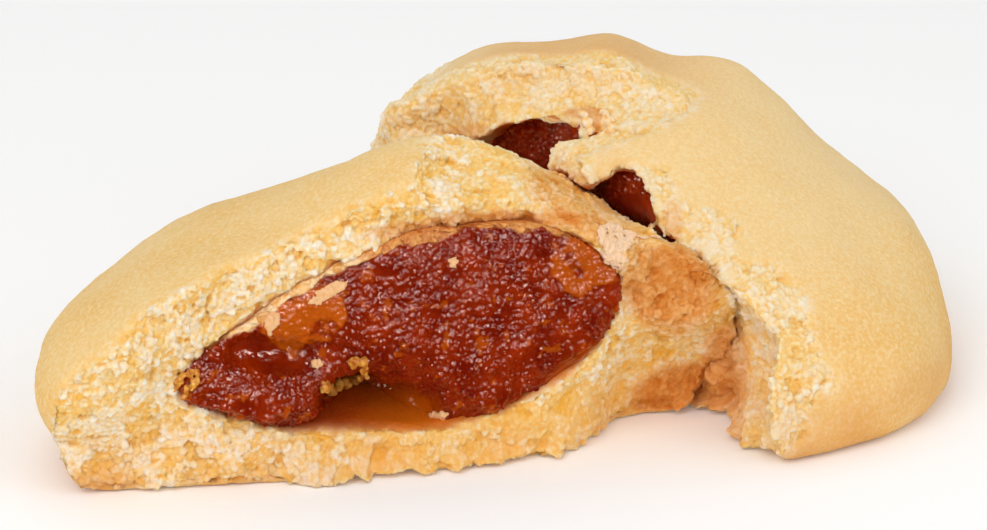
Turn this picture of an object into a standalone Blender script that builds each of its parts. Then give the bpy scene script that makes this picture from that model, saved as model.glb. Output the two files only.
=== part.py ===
"""A jam-filled soft biscuit torn in two, both halves lying flat on their bases and touching.

Each half has a frame of its own: x runs along the tear, y into the half and z up from the
base. Lengths here are millimetres, and make_object turns them into metres.
"""
from dataclasses import dataclass

import bmesh
import bpy
import numpy as np
from mathutils import Matrix, Vector, noise

MM = 0.001

# Driving dimensions of the whole biscuit
GAP = 0.35                 # between pieces that touch
LUMP_SIZE = 9.0            # gentle unevenness of the crust
LUMP_HEIGHT = 0.45
CRAG_SIZES = (4.6, 2.1)    # crumbs and clumps that stand out of a torn face
CRAG_HEIGHTS = (0.75, 0.5)
POCKET_LUMP_SIZE = 5.5     # unevenness of the jam pocket's wall
POCKET_BULGE = 0.16        # as a share of its half height
JAM_LUMP_SIZE = 2.6
JAM_LUMP_HEIGHT = 0.45

# Mesh steps
TURN_STEPS = 68
DOME_STEPS = 15
SIDE_STEPS = 5
TEAR_STEP = 1.05
JAM_TEAR_STEP = 0.95
CUT_REACH = 60.0           # how far a tear cutter runs away from the face
CUT_SPAN = (-33.0, 33.0)   # along the tear
CUT_RISE = (-3.0, 31.0)    # from under the base to above the top


@dataclass
class Half:
    """A torn half: the round biscuit it comes from, and where it lies."""
    name: str
    place: tuple           # of its frame's origin on the ground
    turn: float            # degrees about z
    middle: float          # y of the round biscuit's middle
    radius: float
    widest: float          # height of the widest ring
    base_share: float      # radius of the flat base over the widest radius
    shoulder: float        # height of the low dome, without its peak
    dome_power: float      # a larger power has a flatter top and a steeper side
    peak: tuple            # x, y from the middle, height, spread and power of the raised top
    pressed: tuple         # share, direction and spread in degrees of each flattened stretch of edge
    lean: tuple            # share and direction in degrees of the higher side
    dents: tuple           # x, y from the middle, depth and spread of each dent in the top
    seed: float


FRONT = Half(
    name="front", place=(-1.6, 0.2), turn=15.0, middle=-3.0, radius=26.9, widest=7.0,
    base_share=0.85, shoulder=17.0, dome_power=2.8, peak=(5.0, 3.0, 6.5, 8.5, 2.0),
    pressed=((0.10, 42.0, 46.0),), lean=(0.0, 0.0), dents=((15.5, 3.5, 1.5, 5.0),), seed=3.1)
BACK = Half(
    name="back", place=(10.1, 16.5), turn=-59.0, middle=3.0, radius=28.7, widest=3.6,
    base_share=0.965, shoulder=16.4, dome_power=2.8, peak=(-2.5, 3.5, 6.9, 12.5, 3.0),
    pressed=((0.06, -6.0, 22.0), (-0.036, 30.0, 17.0), (0.018, 80.0, 20.0)), lean=(0.17, 205.0),
    dents=((1.7, 7.6, 0.9, 3.0), (-2.0, 16.0, -1.2, 3.5), (-5.0, 9.5, 0.8, 4.0),
           (-16.5, 0.5, -0.6, 5.0)), seed=7.7)


@dataclass
class Filling:
    """A pocket of jam: an uneven lens, thickest at its crest."""
    ends: tuple            # x at its left and right tip
    crest: float           # x where it is thickest
    heights: tuple         # z of its middle line at the left tip, the crest and the right tip
    half_height: float
    depth: float           # half its size across the tear
    y: float


FRONT_FILLING = Filling(
    ends=(-17.3, 15.8), crest=2.5, heights=(8.0, 10.8, 12.0), half_height=7.1, depth=12.5, y=-5.0)
BACK_FILLING = Filling(
    ends=(-16.5, 16.5), crest=1.0, heights=(9.5, 11.8, 10.5), half_height=7.9, depth=11.5, y=0.0)

# The tongue of crumb that hangs over the back half's jam, as an egg in the half's frame
TONGUE_CENTRE = (5.9, -1.1, 19.0)
TONGUE_SIZE = (3.3, 2.0, 4.3)


def ramp(value, start, end):
    """0 before start, 1 after end, and smooth between."""
    share = np.clip((value - start) / (end - start), 0.0, 1.0)
    return share * share * (3.0 - 2.0 * share)


def bell(value, centre, spread):
    return np.exp(-(((value - centre) / spread) ** 2))


def uneven(points, size, seed):
    """Smooth noise between about -1 and 1, with lumps of one size."""
    shift = Vector((seed, 2.3 * seed, -1.7 * seed))
    flat = points.reshape(-1, 3)
    values = [noise.noise(Vector(point) / size + shift) for point in flat.tolist()]
    return np.array(values).reshape(points.shape[:-1])


def crags(x, z, seed):
    """Relief of a torn face: rounded clumps with sharp clefts between them, in two sizes."""
    relief = np.zeros_like(x)
    for size, height in zip(CRAG_SIZES, CRAG_HEIGHTS):
        points = np.stack([x, z, np.full_like(x, seed * size)], axis=-1) / size
        nearest = [noise.voronoi(Vector(point))[0][0] for point in points.reshape(-1, 3).tolist()]
        relief += height * (np.array(nearest).reshape(x.shape) * 2.0 - 1.0)
    return relief


def front_tear(x, z):
    """y of the front half's torn face, upright, with its right end set back low down."""
    at_base = -5.9 + 1.6 * ramp(-x, 10.0, 22.0) + 5.4 * ramp(x, 12.0, 18.0)
    at_rim = -4.4 - 3.4 * ramp(-x, 11.0, 24.0) - 2.2 * ramp(x, 12.0, 19.0)
    face = at_base + (at_rim - at_base) * ramp(z, 1.0, 16.0)
    top = 23.2 - 0.035 * (x - 5.0) ** 2
    leaning_top = 7.0 * ramp(x, 0.0, 4.5) * ramp(-x, -22.0, -16.0) * ramp(z - top, -3.8, 0.6)
    overhang = -1.1 * bell(x, 1.0, 4.0) * bell(z, 20.3, 2.0)
    above_jam = 1.1 * bell(x, 6.0, 8.0) * bell(z, 18.4, 1.3)
    stained_end = 1.3 * bell(x, 19.0, 3.2) * bell(z, 13.0, 3.4)
    light_band = -1.0 * bell(x, 19.0, 6.0) * bell(z, 8.4 + 0.12 * (x - 15.0), 1.5)
    return face + leaning_top + overhang + above_jam + stained_end + light_band


def back_tear(x, z):
    """y of the back half's torn face. Its top crust is peeled off as far as the fold at x = 8."""
    below = -3.0 + 2.0 * ramp(-x, 14.0, 17.0) + 2.7 * ramp(x, 8.0, 13.0)
    corner = -5.0 * bell(x, -11.3, 3.0) * ramp(z, 8.0, 14.0)
    before_fold = ramp(-x, -9.4, -6.2)
    peeled = (x + 7.3) * ramp(x, -9.0, -5.0) * before_fold * ramp(z, 18.5, 22.0)
    hollow_end = 6.6 * ramp(x, 2.0, 8.0) * ramp(-x, -29.5, -21.5) * ramp(-z, -13.5, -8.0)
    flake = -4.2 * bell(x, 21.5, 2.6) * ramp(-z, -4.5, -1.0)
    tucked_tip = 1.8 * ramp(x, 23.0, 26.5) * ramp(-z, -4.0, -0.5)
    return below + corner + peeled + hollow_end + flake + tucked_tip


def front_jam_face(x, z):
    """y of the front jam: proud in the middle, set back in the hollow low on its left."""
    swell = np.clip(1.0 - ((x - 5.0) / 12.5) ** 2 - ((z - 11.4) / 8.5) ** 2, 0.0, 1.0)
    hollow = 5.0 * bell(x, -2.2, 3.9) * bell(z, 4.9, 2.6)
    notch = 1.7 * bell(x, -7.5, 2.6) * bell(z, 9.6, 1.3)
    lobe = -0.7 * bell(x, -10.5, 4.2) * bell(z, 7.0, 2.2)
    low_edge = 1.3 * bell(x, 13.0, 4.0) * bell(z, 5.8, 2.0)
    return front_tear(x, z) + 0.6 - 1.5 * swell + hollow + notch + lobe + low_edge


def back_jam_face(x, z):
    """y of the back jam, behind the tongue and sinking in towards the base."""
    return 1.0 + 1.6 * ramp(-z, -15.5, -12.5) + 0.8 * bell(x, 9.5, 3.0)


def to_ground(half):
    """The half's frame in the ground's frame, in millimetres."""
    return Matrix.Translation((*half.place, 0.0)) @ Matrix.Rotation(np.radians(half.turn), 4, "Z")


def make_object(name, mesh_source, placement):
    """An object from a bmesh in millimetres, with its faces outward and its place in its mesh."""
    bmesh.ops.transform(mesh_source, matrix=Matrix.Scale(MM, 4) @ placement, verts=mesh_source.verts)
    bmesh.ops.recalc_face_normals(mesh_source, faces=mesh_source.faces)
    mesh = bpy.data.meshes.new(name)
    mesh_source.to_mesh(mesh)
    mesh_source.free()
    piece = bpy.data.objects.new(name, mesh)
    bpy.context.scene.collection.objects.link(piece)
    return piece


def bridge(mesh_source, rings):
    """Quads between neighbouring closed rings of vertices."""
    for lower, upper in zip(rings, rings[1:]):
        for i, vertex in enumerate(lower):
            j = (i + 1) % len(lower)
            mesh_source.faces.new((vertex, lower[j], upper[j], upper[i]))


def round_biscuit(half, grow=0.0, base=0.0):
    """The whole round biscuit that a half comes from, larger by grow, down to the height base."""
    turns = np.linspace(0.0, 2.0 * np.pi, TURN_STEPS, endpoint=False)
    rise = np.linspace(0.0, 1.0, DOME_STEPS)[1:]
    dome_share = np.sin(rise * np.pi / 2.0) ** 0.9
    low_dome = (1.0 - dome_share ** half.dome_power) ** 0.5
    fall = np.linspace(0.0, np.pi / 2.0, SIDE_STEPS + 1)[1:]
    side_share = half.base_share + (1.0 - half.base_share) * np.cos(fall)
    share = np.concatenate([dome_share, side_share])[:, None]

    radius = np.full(TURN_STEPS, half.radius + grow)
    for pressed, direction, spread in half.pressed:
        away = (np.degrees(turns) - direction + 180.0) % 360.0 - 180.0
        radius -= half.radius * pressed * bell(away, 0.0, spread)
    tilt, high_side = half.lean
    lifted = 1.0 + tilt * np.cos(turns - np.radians(high_side)) * share[:len(rise)]
    z_dome = half.widest + low_dome[:, None] * (half.shoulder - half.widest) * lifted
    z_side = np.repeat(half.widest * (1.0 - np.sin(fall))[:, None], TURN_STEPS, axis=1)
    x = share * radius * np.cos(turns)
    y = share * radius * np.sin(turns)

    peak_x, peak_y, peak_height, peak_spread, peak_power = half.peak
    from_peak = np.hypot(x - peak_x, y - peak_y) / peak_spread
    peak = peak_height * np.exp(-0.5 * from_peak ** peak_power) * np.clip(6.0 * (1.0 - share), 0.0, 1.0)
    for dent_x, dent_y, depth, spread in half.dents:
        peak -= depth * bell(np.hypot(x - dent_x, y - dent_y), 0.0, spread)
    z = np.concatenate([z_dome, z_side])
    z += peak * (np.arange(len(share))[:, None] < len(rise))
    points = np.stack([x, y, z], axis=-1)
    lumps = uneven(points, LUMP_SIZE, half.seed) * LUMP_HEIGHT
    above_base = np.clip(z / half.widest, 0.0, 1.0)
    points[..., 2] += (lumps + grow) * above_base
    points[..., :2] *= (1.0 + lumps * above_base / half.radius)[..., None]
    points[-1, :, 2] = base
    points[..., 1] += half.middle

    mesh_source = bmesh.new()
    rings = [[mesh_source.verts.new(point) for point in ring] for ring in points.tolist()]
    bridge(mesh_source, rings)
    top_height = half.shoulder + grow + peak_height * np.exp(
        -0.5 * (np.hypot(peak_x, peak_y) / peak_spread) ** peak_power)
    top = mesh_source.verts.new((0.0, half.middle, top_height))
    for i, vertex in enumerate(rings[0]):
        mesh_source.faces.new((top, vertex, rings[0][(i + 1) % TURN_STEPS]))
    mesh_source.faces.new(rings[-1])
    return mesh_source


def tear_cutter(face, step, roughness):
    """A block that ends in a torn face: y = face(x, z) + roughness(x, z), and all that is nearer."""
    x_values = np.arange(CUT_SPAN[0], CUT_SPAN[1] + step, step)
    z_values = np.arange(CUT_RISE[0], CUT_RISE[1] + step, step)
    x, z = np.meshgrid(x_values, z_values, indexing="ij")
    y = face(x, z) + roughness(x, z)
    mesh_source = bmesh.new()
    points = np.stack([x, y, z], axis=-1).tolist()
    grid = [[mesh_source.verts.new(point) for point in row] for row in points]
    for i in range(len(grid) - 1):
        for j in range(len(grid[0]) - 1):
            mesh_source.faces.new((grid[i][j], grid[i + 1][j], grid[i + 1][j + 1], grid[i][j + 1]))
    rim = [edge for edge in mesh_source.edges if edge.is_boundary]
    grown = bmesh.ops.extrude_edge_only(mesh_source, edges=rim)["geom"]
    for vertex in (item for item in grown if isinstance(item, bmesh.types.BMVert)):
        vertex.co.y = -CUT_REACH
    bmesh.ops.holes_fill(mesh_source, edges=[edge for edge in mesh_source.edges if edge.is_boundary])
    return mesh_source


def lens(filling, grow=0.0, rings=17, sides=26):
    """The pocket of jam as a closed lens along x, larger by grow."""
    left, right = filling.ends
    along = -np.cos(np.linspace(0.0, np.pi, rings + 2)[1:-1])
    x = (left + right) / 2.0 + along * ((right - left) / 2.0 + grow)
    to_left = np.clip((filling.crest - x) / (filling.crest - left + grow), 0.0, 1.0)
    to_right = np.clip((x - filling.crest) / (right + grow - filling.crest), 0.0, 1.0)
    thickness = np.where(x < filling.crest, (1.0 - to_left ** 1.6) ** 0.8, (1.0 - to_right ** 2.2) ** 0.5)
    middle_line = np.interp(x, (left, filling.crest, right), filling.heights)
    turns = np.linspace(0.0, 2.0 * np.pi, sides, endpoint=False)
    outline = np.stack([np.repeat(x[:, None], sides, axis=1),
                        np.outer(thickness * filling.depth, np.cos(turns)),
                        np.outer(thickness * filling.half_height, np.sin(turns))], axis=-1)
    bulges = 1.0 + POCKET_BULGE * uneven(outline, POCKET_LUMP_SIZE, filling.crest)
    y = filling.y + outline[..., 1] * bulges + grow * np.cos(turns)
    z = middle_line[:, None] + outline[..., 2] * bulges + grow * np.sin(turns)
    points = np.stack([outline[..., 0], y, z], axis=-1)
    mesh_source = bmesh.new()
    loops = [[mesh_source.verts.new(point) for point in ring] for ring in points.tolist()]
    bridge(mesh_source, loops)
    tips = ((left - grow, filling.heights[0]), (right + grow, filling.heights[2]))
    for loop, (tip_x, tip_z) in zip((loops[0], loops[-1]), tips):
        tip = mesh_source.verts.new((tip_x, filling.y, tip_z))
        for i, vertex in enumerate(loop):
            mesh_source.faces.new((tip, vertex, loop[(i + 1) % sides]))
    return mesh_source


def tongue(grow=0.0):
    """The tongue of crumb as an egg, larger by grow."""
    mesh_source = bmesh.new()
    bmesh.ops.create_icosphere(mesh_source, subdivisions=3, radius=1.0)
    size = [half_size + grow for half_size in TONGUE_SIZE]
    bmesh.ops.transform(
        mesh_source, matrix=Matrix.Translation(TONGUE_CENTRE) @ Matrix.Diagonal((*size, 1.0)),
        verts=mesh_source.verts)
    return mesh_source


def cut(piece, cutter, solver="EXACT"):
    """Cuts the cutter out of the piece for good, and removes the cutter."""
    modifier = piece.modifiers.new("cut", "BOOLEAN")
    modifier.operation = "DIFFERENCE"
    modifier.solver = solver
    modifier.object = cutter
    bpy.context.view_layer.update()
    graph = bpy.context.evaluated_depsgraph_get()
    mesh = bpy.data.meshes.new_from_object(piece.evaluated_get(graph))
    piece.modifiers.clear()
    piece.data = mesh
    mesh.name = piece.name
    bpy.data.objects.remove(cutter)


def keep_largest(piece):
    """Drops the loose scraps that a cut leaves."""
    mesh_source = bmesh.new()
    mesh_source.from_mesh(piece.data)
    unseen = set(mesh_source.verts)
    bodies = []
    while unseen:
        body = [unseen.pop()]
        for vertex in body:
            neighbours = {edge.other_vert(vertex) for edge in vertex.link_edges} & unseen
            unseen -= neighbours
            body.extend(neighbours)
        bodies.append(body)
    bodies.sort(key=len)
    for body in bodies[:-1]:
        bmesh.ops.delete(mesh_source, geom=body, context="VERTS")
    bmesh.ops.dissolve_degenerate(mesh_source, dist=0.02 * MM, edges=mesh_source.edges)
    bmesh.ops.triangulate(mesh_source, faces=mesh_source.faces)
    mesh_source.to_mesh(piece.data)
    mesh_source.free()


def finish(piece, colour, roughness):
    """Drops scraps, shades the piece and gives it its own plain material."""
    keep_largest(piece)
    piece.data.shade_smooth()
    piece.data.set_sharp_from_angle(angle=np.radians(40.0))
    material = bpy.data.materials.new(piece.name)
    material.use_nodes = True
    shader = material.node_tree.nodes["Principled BSDF"]
    shader.inputs["Base Color"].default_value = (*colour, 1.0)
    shader.inputs["Roughness"].default_value = roughness
    shader.inputs["Metallic"].default_value = 0.0
    piece.data.materials.append(material)


def make_half(half, filling, tear, jam_face, has_tongue=False):
    """The dough and the jam of one half."""
    placement = to_ground(half)

    def crumbly(x, z):
        return crags(x, z, half.seed)

    def bubbly(x, z):
        points = np.stack([x, np.full_like(x, half.seed), z], axis=-1)
        return JAM_LUMP_HEIGHT * uneven(points, JAM_LUMP_SIZE, half.seed)

    dough = make_object(f"{half.name}_dough", round_biscuit(half), placement)
    cut(dough, make_object("tear", tear_cutter(tear, TEAR_STEP, crumbly), placement))
    pocket = make_object("pocket", lens(filling), placement)
    jam = make_object(f"{half.name}_jam", lens(filling, grow=-GAP), placement)
    if has_tongue:
        cut(pocket, make_object("tongue", tongue(), placement), "MANIFOLD")
        cut(jam, make_object("tongue", tongue(grow=GAP), placement), "MANIFOLD")
    cut(dough, pocket)
    cut(jam, make_object("tear", tear_cutter(jam_face, JAM_TEAR_STEP, bubbly), placement), "MANIFOLD")
    return dough, jam


def centre_on_base(pieces):
    """Moves the pieces so that the middle of their common box stands at x = y = 0."""
    corners = np.array([piece.matrix_world @ vertex.co for piece in pieces for vertex in piece.data.vertices])
    middle = (corners.min(axis=0) + corners.max(axis=0)) / 2.0
    for piece in pieces:
        piece.data.transform(Matrix.Translation((-middle[0], -middle[1], 0.0)))


def main():
    for old in list(bpy.data.objects):
        bpy.data.objects.remove(old)
    front_dough, front_jam = make_half(FRONT, FRONT_FILLING, front_tear, front_jam_face)
    back_dough, back_jam = make_half(BACK, BACK_FILLING, back_tear, back_jam_face, has_tongue=True)
    for piece in (back_dough, back_jam):
        clearance = round_biscuit(FRONT, grow=GAP, base=-1.0)
        cut(piece, make_object("clearance", clearance, to_ground(FRONT)))
    for piece, colour, roughness in (
        (front_dough, (0.88, 0.60, 0.29), 0.75),
        (front_jam, (0.22, 0.035, 0.010), 0.25),
        (back_dough, (0.88, 0.60, 0.29), 0.75),
        (back_jam, (0.18, 0.022, 0.006), 0.25),
    ):
        finish(piece, colour, roughness)
    centre_on_base((front_dough, front_jam, back_dough, back_jam))


main()
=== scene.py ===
"""The looks of a jam-filled soft biscuit torn in two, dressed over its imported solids.

Shapes are worked out in millimetres and written to Blender in metres. Each half has a frame of
its own, as in the part's source: x along the tear, y into the half, z up.
"""
from dataclasses import dataclass

import bmesh
import bpy
import numpy as np
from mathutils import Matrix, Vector, noise
from mathutils.bvhtree import BVHTree
from mathutils.kdtree import KDTree


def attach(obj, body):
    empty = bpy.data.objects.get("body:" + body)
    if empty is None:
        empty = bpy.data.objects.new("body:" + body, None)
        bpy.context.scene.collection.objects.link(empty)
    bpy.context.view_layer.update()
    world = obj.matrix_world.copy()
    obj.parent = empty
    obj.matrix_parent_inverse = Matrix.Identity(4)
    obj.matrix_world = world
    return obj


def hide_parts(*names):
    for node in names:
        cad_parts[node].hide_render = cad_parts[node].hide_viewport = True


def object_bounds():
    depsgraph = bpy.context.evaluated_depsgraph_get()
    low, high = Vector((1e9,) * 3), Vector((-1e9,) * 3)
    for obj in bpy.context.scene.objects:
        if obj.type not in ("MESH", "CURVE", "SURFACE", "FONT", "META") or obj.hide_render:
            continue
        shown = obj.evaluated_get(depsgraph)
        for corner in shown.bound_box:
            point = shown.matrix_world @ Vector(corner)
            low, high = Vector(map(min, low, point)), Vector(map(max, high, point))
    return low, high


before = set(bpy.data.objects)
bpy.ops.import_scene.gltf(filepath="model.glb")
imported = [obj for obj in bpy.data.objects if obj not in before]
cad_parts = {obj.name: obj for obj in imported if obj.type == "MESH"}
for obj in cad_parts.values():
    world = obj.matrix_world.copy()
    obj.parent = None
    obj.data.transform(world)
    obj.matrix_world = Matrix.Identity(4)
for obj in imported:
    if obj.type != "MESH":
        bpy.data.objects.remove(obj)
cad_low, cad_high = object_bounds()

MM = 0.001

# Where the part's origin lies in the layout in which both halves' places are given
LAYOUT_MIDDLE = (6.822, 17.032)

# The camera of the photograph
CAMERA_TARGET = (-1.022, -17.032, 14.2)
CAMERA_ELEVATION = 21.0
CAMERA_DISTANCE = 360.0
CAMERA_LENS = 179.9
SENSOR = 36.0
PHOTO_SIZE = (987, 530)
MM_PER_PIXEL = 0.0746

# Pixels of the photograph: the gap in the back half's rim, with its depths from the camera
RIM_GAP = ((594, 181), (604, 177), (616, 174), (623, 165), (628, 166), (636, 180), (643, 196),
           (648, 224), (620, 224))
RIM_GAP_DEPTHS = (361.0, 370.0)
# The top edge of the front half's jam, with a skin of stained dough above it
JAM_TOP = ((185, 360), (262, 325), (290, 300), (325, 277), (345, 272), (395, 248), (405, 244),
           (411, 250), (428, 246), (445, 238), (462, 230), (500, 228), (520, 232), (540, 229),
           (560, 235), (592, 238), (640, 238))
# The left edge of the back half's clean crumb, where the halves meet: x at a y
MEETING_EDGE = ((240, 690), (272, 721), (303, 731), (337, 747), (364, 749), (394, 747), (440, 742))
# Two curls of dried syrup on the jam
CURL_LEFT = [(179, 393), (178, 385), (184, 379), (187, 372), (193, 371), (197, 379), (191, 387),
             (184, 392)]
CURL_RIGHT = [(323, 386), (331, 391), (341, 386), (349, 381), (357, 376), (364, 368), (361, 359),
              (354, 358), (352, 366)]
# Films and scraps of dough on the jam, and the size of their grain in millimetres
FILMS_ON_JAM = (
    ([(308, 303), (316, 293), (328, 285), (340, 280), (348, 282), (344, 290), (330, 297),
      (318, 305)], 0.11),
    ([(264, 316), (272, 312), (279, 316), (277, 323), (279, 328), (273, 327), (270, 332),
      (266, 325)], 0.17),
    ([(450, 259), (456, 258), (457, 263), (454, 267), (451, 265)], 0.16),
    ([(430, 414), (438, 411), (448, 413), (445, 419), (434, 421)], 0.17),
    ([(313, 361), (319, 359), (323, 363), (318, 369), (314, 367)], 0.15),
)
# Clumps of crumb at the edges of the windows in the back half, and their radius
CLUMPS_ON_BACK = (
    ([(583, 116), (587, 122), (590, 129), (589, 136)], 0.24),
    ([(603, 115), (608, 120), (611, 128), (609, 135)], 0.26),
)
# Ellipses on the photograph: x, y, width, height and lean in degrees. Where soaked dough ends
# above the jam, where crumb shows on a window's roof, and where that roof is thicker
CLEAN_LIP = (470, 222, 135, 26, 4)
BARE_ROOF = (462, 134, 44, 18)
THICK_ROOF = (581, 117, 22, 13)
# Open cracks along the seam, between which columns it closes further, and how far each skin is
# drawn towards the other half's solid there and elsewhere, as shares
CRACKS = ((668, 250, 26, 9, -55), (740, 362, 18, 10, 80))
JOINED_SEAM = (660.0, 675.0)
JOINED_SHARE = 0.75
SEAM_SHARE = 0.60
# Where jam has soaked the front half's crumb, and where the shade at its right end and foot is painted in
# the same darker orange
STAINED_AND_SHADED_END = (672, 285, 62, 56)
STAINED_AND_SHADED_FOOT = ((690, 392, 72, 36, 10), (728, 362, 34, 44))
STAINED_LIP = (480, 226, 130, 17, 4)
STAINED_EDGE = (585, 205, 85, 34, -35)
# and the back half's, with how strongly: round its windows and at its foot, where the darker orange is
# partly painted shade of its recess
STAINS_BEHIND = ((0.7, 586, 113, 28, 7), (0.7, 596, 126, 7, 12), (0.35, 462, 136, 34, 12, 10),
                 (0.4, 612, 160, 20, 14), (0.3, 672, 225, 14, 30))
STAINED_AND_SHADED_NOTCH = (712, 374, 38, 56)
# Rows between which the stain and painted shade left of the back half's clean crumb begin
MEETING_TOP = (240.0, 262.0)
# The front half's jam: its syrup-filled hollow and its smooth recess, with their depths in
# millimetres, what lies below the recess, a smooth place under the right end, and amber lumps
HOLLOW = ((382, 412, 66, 34), (350, 394, 40, 22, 25))
HOLLOW_DEPTH = 2.2
RECESS = (268, 357, 54, 23, -8)
RECESS_DEPTH = 1.5
BELOW_RECESS = (258, 405, 74, 28, -3)
UNDERCUT = (575, 372, 48, 20, 40)
AMBER_LUMPS = ((302, 322, 52, 34, 30), (584, 262, 38, 44, -30))
# Columns between which the syrup turns from dark to amber, in the dough and in the jam, and
# the skin above the jam from cream to stained, and rows where the back half's jam turns smooth
DEEP_SYRUP = (330.0, 430.0)
AMBER_SYRUP = (350.0, 435.0)
CREAM_SKIN = (340.0, 375.0)
SMOOTH_BEHIND = (192.0, 197.0)
# How far the foot of a torn face reaches out in millimetres, and where
FEET_IN_FRONT = ((1.1, 450, 474, 190, 40), (-0.5, 640, 436, 50, 30), (0.7, 704, 402, 26, 22))
FEET_BEHIND = ((2.6, 722, 394, 34, 28),)
# Slow dents and swellings: height in millimetres, then x, y, width, height and lean
DENTS_BEHIND = ((-0.65, 550, 42, 44, 26, 0), (0.25, 608, 40, 20, 20, 0), (-0.60, 668, 52, 32, 26, 0),
                (-0.45, 680, 108, 46, 12, 35), (0.35, 740, 68, 26, 24, 0), (0.50, 786, 100, 30, 26, -45),
                (0.55, 903, 212, 34, 26, -50), (-0.60, 950, 300, 20, 46, 0), (0.50, 384, 112, 24, 30, 0),
                (1.2, 720, 376, 16, 26, 0))
DENTS_IN_FRONT = ((-0.65, 102, 260, 66, 42, 35), (-0.70, 46, 452, 22, 36, 0))
# Where the roof of a window sags: x, y, width and height in pixels, and how far in millimetres
DROOPS = ((476, 127, 22, 14, 1.1), (604, 168, 12, 14, 0.5))
# The pale flake of dough between the jam and the right end, and its thread
FLAKE = [(598, 231), (607, 226), (616, 226), (624, 233), (636, 235), (631, 243), (624, 250),
         (626, 260), (616, 271), (609, 269), (605, 257), (607, 250), (600, 241)]
THREAD = [(634, 236), (643, 238), (652, 237), (661, 239)]

FLOOR_REACH = 3.0          # metres from the middle to each side
LIGHTS_TARGET = (0.0, -5.0, 8.0)
# Azimuth, elevation, distance, size and power of the soft boxes
SOFT_BOXES = {"key": (25.0, 42.0, 420.0, 260.0, 0.59), "fill": (-45.0, 32.0, 460.0, 300.0, 0.33),
              "top": (160.0, 70.0, 420.0, 300.0, 0.14)}
GLINT_DISTANCE = 400.0
GLINT_SIZE = 75.0
GLINT_COLOUR = (1.0, 0.80, 0.70)
# Azimuth, elevation and power of the small lights that show in the wet jam
GLINTS = ((22.0, 42.0, 0.60), (55.0, 35.0, 0.45), (0.0, 62.0, 0.40), (-35.0, 52.0, 0.50),
          (-50.0, 22.0, 0.35), (-8.0, 10.0, 0.35), (30.0, 14.0, 0.35))

# Relief of the torn face in the solids, which tells its triangles from those of the crust, and
# how far from it a corner may lie, all in millimetres
CRAG_SIZES = (4.6, 2.1)
CRAG_HEIGHTS = (0.75, 0.5)
CRAG_LEEWAY = 0.45

# Sizes of the meshes' faces before they are refined, in millimetres
DOUGH_VOXEL = 0.53
JAM_VOXEL = 0.345
SCRAP_VOXEL = 0.07
CLUMP_VOXEL = 0.08
FLAKE_VOXEL = 0.055
# A part of a small piece with fewer vertices is a stray speck
SPECK_VERTICES = 120
# How far the jam grows towards the wall of its pocket, and how much more it grows sideways
GAP_FILL = 0.33
SIDE_FILL = 0.55


@dataclass
class Half:
    """A torn half, and where it lies in the layout."""
    place: tuple
    turn: float
    seed: float
    middle: float          # y of the middle of the round biscuit that it comes from


@dataclass
class Pocket:
    """The lens of jam: its tips and crest along x, and its height there."""
    ends: tuple
    crest: float
    heights: tuple
    half_height: float
    depth: float
    y: float


FRONT = Half((-1.6, 0.2), 15.0, 3.1, -3.0)
BACK = Half((10.1, 16.5), -59.0, 7.7, 3.0)
FRONT_POCKET = Pocket((-17.3, 15.8), 2.5, (8.0, 10.8, 12.0), 7.1, 12.5, -5.0)
BACK_POCKET = Pocket((-16.5, 16.5), 1.0, (9.5, 11.8, 10.5), 7.9, 11.5, 0.0)


# ---------------------------------------------------------------- shape helpers

def ramp(value, start, end):
    """0 before start, 1 after end, and smooth between."""
    share = np.clip((value - start) / (end - start), 0.0, 1.0)
    return share * share * (3.0 - 2.0 * share)


def bell(value, centre, spread):
    return np.exp(-(((value - centre) / spread) ** 2))


def uneven(points, size, seed):
    """Smooth noise between about -1 and 1, with lumps of one size."""
    shift = Vector((seed, 2.3 * seed, -1.7 * seed))
    flat = (points.reshape(-1, 3) / size).tolist()
    values = [noise.noise(Vector(point) + shift) for point in flat]
    return np.array(values).reshape(points.shape[:-1])


def cells(points, size, seed):
    """For each point, its distance to the nearest and the second nearest grain's middle, as
    shares of the size, a number of that grain between 0 and 1, and where its middle is."""
    shift = np.array((seed, 2.3 * seed, -1.7 * seed))
    found = [noise.voronoi(Vector(point)) for point in (points / size + shift).tolist()]
    near = np.array([distances[:2] for distances, _ in found])
    middles = np.array([places[0] for _, places in found])
    own = np.abs(np.sin(middles @ np.array((12.99, 78.23, 37.72))) * 43758.55) % 1.0
    return near[:, 0], near[:, 1], own, (middles - shift) * size


def crags(x, z, seed):
    """The relief that the solids' torn faces have."""
    relief = np.zeros_like(x)
    for size, height in zip(CRAG_SIZES, CRAG_HEIGHTS):
        points = np.stack([x, z, np.full_like(x, seed * size)], axis=-1) / size
        nearest = [noise.voronoi(Vector(point))[0][0] for point in points.reshape(-1, 3).tolist()]
        relief += height * (np.array(nearest).reshape(x.shape) * 2.0 - 1.0)
    return relief


def front_tear(x, z):
    """y of the front half's torn face, as in the part's source."""
    at_base = -5.9 + 1.6 * ramp(-x, 10.0, 22.0) + 5.4 * ramp(x, 12.0, 18.0)
    at_rim = -4.4 - 3.4 * ramp(-x, 11.0, 24.0) - 2.2 * ramp(x, 12.0, 19.0)
    face = at_base + (at_rim - at_base) * ramp(z, 1.0, 16.0)
    top = 23.2 - 0.035 * (x - 5.0) ** 2
    leaning_top = 7.0 * ramp(x, 0.0, 4.5) * ramp(-x, -22.0, -16.0) * ramp(z - top, -3.8, 0.6)
    overhang = -1.1 * bell(x, 1.0, 4.0) * bell(z, 20.3, 2.0)
    above_jam = 1.1 * bell(x, 6.0, 8.0) * bell(z, 18.4, 1.3)
    stained_and_shaded_end = 1.3 * bell(x, 19.0, 3.2) * bell(z, 13.0, 3.4)
    light_band = -1.0 * bell(x, 19.0, 6.0) * bell(z, 8.4 + 0.12 * (x - 15.0), 1.5)
    return face + leaning_top + overhang + above_jam + stained_and_shaded_end + light_band


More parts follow.
